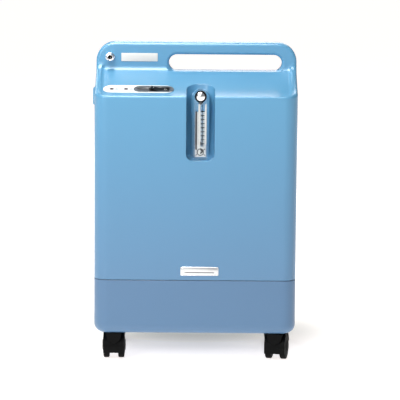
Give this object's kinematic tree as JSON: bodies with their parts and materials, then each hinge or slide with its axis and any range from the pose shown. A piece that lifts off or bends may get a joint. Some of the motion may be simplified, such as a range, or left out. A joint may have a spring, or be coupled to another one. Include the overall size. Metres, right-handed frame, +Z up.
{
  "type": "oxygen concentrator",
  "caption": "Floor-standing home oxygen concentrator on swivel casters, with a moulded carry handle, a recessed flowmeter and a sloped control deck.",
  "frame": {"origin": "on the floor, under the middle of the housing", "axes": "+Z up, the front face looks along -Y, +X to the right seen from the front"},
  "size_m": [0.3834, 0.2432, 0.593],
  "materials": {
    "housing_blue": "fine satin texture, light blue moulded plastic",
    "tray_blue": "fine satin texture, slightly deeper blue",
    "screw_steel": "zinc plated",
    "panel_white": "semi-gloss printed film",
    "lens_grey": "clear dark lens",
    "dark_gloss": "gloss",
    "black_plastic": "fine grain",
    "clear_acrylic": "polished clear acrylic",
    "float_black": "polished",
    "chrome": "polished",
    "label_white": "printed film",
    "badge_metal": "brushed, bright border",
    "foam_black": "open-cell foam",
    "strap_fabric": "woven hook-and-loop webbing",
    "cast_alloy": "as cast",
    "steel_plate": "grey powder coat",
    "spring_steel": "bright",
    "tube_alloy": "drawn",
    "canister_alloy": "drawn, satin",
    "tank_plastic": "natural",
    "bracket_plastic": "moulded",
    "board_green": "solder mask",
    "capacitor_metal": "drawn can",
    "hose_clear": "silicone",
    "wheel_grey": "matt tread"
  },
  "bodies": {
    "housing": {"front_cover": "housing_blue", "rear_housing": "housing_blue", "base_tray": "tray_blue", "cover_screws": "screw_steel", "control_panel": "panel_white", "indicator_lenses": "lens_grey", "switch_bezel": "dark_gloss", "power_switch_body": "black_plastic", "flowmeter_body": "clear_acrylic", "pneumatic_fittings": "chrome", "oxygen_outlet_fitting": "chrome", "name_plate": "label_white", "badge_plate": "badge_metal", "intake_filter": "foam_black", "humidifier_platform": "tray_blue", "humidifier_strap": "strap_fabric", "strap_brackets": "housing_blue", "exhaust_grille": "black_plastic", "power_cord_gland": "black_plastic", "compressor_motor": "cast_alloy", "compressor_crankcase": "cast_alloy", "compressor_heads": "cast_alloy", "compressor_cradle": "steel_plate", "isolation_springs": "spring_steel", "cooling_fan_frame": "black_plastic", "heat_exchanger_coil": "tube_alloy", "sieve_beds": "canister_alloy", "product_tank": "tank_plastic", "inner_brackets": "bracket_plastic", "valve_manifold": "cast_alloy", "solenoid_valves": "bracket_plastic", "exhaust_muffler": "bracket_plastic", "intake_silencer": "bracket_plastic", "regulator_and_product_filter": "tank_plastic", "control_board": "board_green", "motor_capacitor": "capacitor_metal", "air_tubing": "hose_clear", "sound_foam": "foam_black"},
    "power_rocker": {"power_switch_rocker": "black_plastic"},
    "flow_float": {"flowmeter_float": "float_black"},
    "flow_knob": {"flowmeter_knob": "black_plastic", "flowmeter_knob_cap": "chrome"},
    "filter_door": {"filter_door": "tray_blue"},
    "fan_rotor": {"cooling_fan_rotor": "black_plastic"},
    "caster_front_left": {"caster_front_left_hood": "black_plastic", "caster_front_left_stem_and_axle": "screw_steel"},
    "caster_front_left_wheel_left": {"caster_front_left_wheel_left": "wheel_grey"},
    "caster_front_left_wheel_right": {"caster_front_left_wheel_right": "wheel_grey"},
    "caster_front_right": {"caster_front_right_hood": "black_plastic", "caster_front_right_stem_and_axle": "screw_steel"},
    "caster_front_right_wheel_left": {"caster_front_right_wheel_left": "wheel_grey"},
    "caster_front_right_wheel_right": {"caster_front_right_wheel_right": "wheel_grey"},
    "caster_rear_left": {"caster_rear_left_hood": "black_plastic", "caster_rear_left_stem_and_axle": "screw_steel"},
    "caster_rear_left_wheel_left": {"caster_rear_left_wheel_left": "wheel_grey"},
    "caster_rear_left_wheel_right": {"caster_rear_left_wheel_right": "wheel_grey"},
    "caster_rear_right": {"caster_rear_right_hood": "black_plastic", "caster_rear_right_stem_and_axle": "screw_steel"},
    "caster_rear_right_wheel_left": {"caster_rear_right_wheel_left": "wheel_grey"},
    "caster_rear_right_wheel_right": {"caster_rear_right_wheel_right": "wheel_grey"}
  },
  "joints": [
    {"name": "caster_front_left_swivel", "type": "hinge", "parent": "housing", "child": "caster_front_left", "pos_m": [-0.152, -0.093, 0.054], "axis": [0, 0, 1], "continuous": true},
    {"name": "caster_front_left_left_wheel_spin", "type": "hinge", "parent": "caster_front_left", "child": "caster_front_left_wheel_left", "pos_m": [-0.152, -0.073, 0.024], "axis": [1, 0, 0], "continuous": true},
    {"name": "caster_front_left_right_wheel_spin", "type": "hinge", "parent": "caster_front_left", "child": "caster_front_left_wheel_right", "pos_m": [-0.152, -0.073, 0.024], "axis": [1, 0, 0], "continuous": true},
    {"name": "caster_front_right_swivel", "type": "hinge", "parent": "housing", "child": "caster_front_right", "pos_m": [0.152, -0.093, 0.054], "axis": [0, 0, 1], "continuous": true},
    {"name": "caster_front_right_left_wheel_spin", "type": "hinge", "parent": "caster_front_right", "child": "caster_front_right_wheel_left", "pos_m": [0.15582, -0.07337, 0.024], "axis": [0.9816, -0.1908, 0], "continuous": true},
    {"name": "caster_front_right_right_wheel_spin", "type": "hinge", "parent": "caster_front_right", "child": "caster_front_right_wheel_right", "pos_m": [0.15582, -0.07337, 0.024], "axis": [0.9816, -0.1908, 0], "continuous": true},
    {"name": "caster_rear_left_swivel", "type": "hinge", "parent": "housing", "child": "caster_rear_left", "pos_m": [-0.157, 0.07, 0.054], "axis": [0, 0, 1], "continuous": true},
    {"name": "caster_rear_left_left_wheel_spin", "type": "hinge", "parent": "caster_rear_left", "child": "caster_rear_left_wheel_left", "pos_m": [-0.157, 0.09, 0.024], "axis": [1, 0, 0], "continuous": true},
    {"name": "caster_rear_left_right_wheel_spin", "type": "hinge", "parent": "caster_rear_left", "child": "caster_rear_left_wheel_right", "pos_m": [-0.157, 0.09, 0.024], "axis": [1, 0, 0], "continuous": true},
    {"name": "caster_rear_right_swivel", "type": "hinge", "parent": "housing", "child": "caster_rear_right", "pos_m": [0.157, 0.07, 0.054], "axis": [0, 0, 1], "continuous": true},
    {"name": "caster_rear_right_left_wheel_spin", "type": "hinge", "parent": "caster_rear_right", "child": "caster_rear_right_wheel_left", "pos_m": [0.157, 0.09, 0.024], "axis": [1, 0, 0], "continuous": true},
    {"name": "caster_rear_right_right_wheel_spin", "type": "hinge", "parent": "caster_rear_right", "child": "caster_rear_right_wheel_right", "pos_m": [0.157, 0.09, 0.024], "axis": [1, 0, 0], "continuous": true},
    {"name": "power_rocker_tilt", "type": "hinge", "parent": "housing", "child": "power_rocker", "pos_m": [-0.0685, -0.08206, 0.50587], "axis": [0, 0.9573, 0.2891], "range_deg": [-16, 0]},
    {"name": "flow_knob_turn", "type": "hinge", "parent": "housing", "child": "flow_knob", "pos_m": [0.0085, -0.11, 0.5015], "axis": [0, -1, 0], "range_deg": [-1440, 0]},
    {"name": "flow_float_rise", "type": "slide", "parent": "housing", "child": "flow_float", "axis": [0, 0, 1], "range_m": [0, 0.06]},
    {"name": "filter_door_hinge", "type": "hinge", "parent": "housing", "child": "filter_door", "pos_m": [0.065, 0.116, 0.252], "axis": [-1, 0, 0], "range_deg": [0, 78]},
    {"name": "fan_rotor_spin", "type": "hinge", "parent": "housing", "child": "fan_rotor", "pos_m": [0.11, 0.0985, 0.103], "axis": [0, 1, 0], "continuous": true}
  ]
}
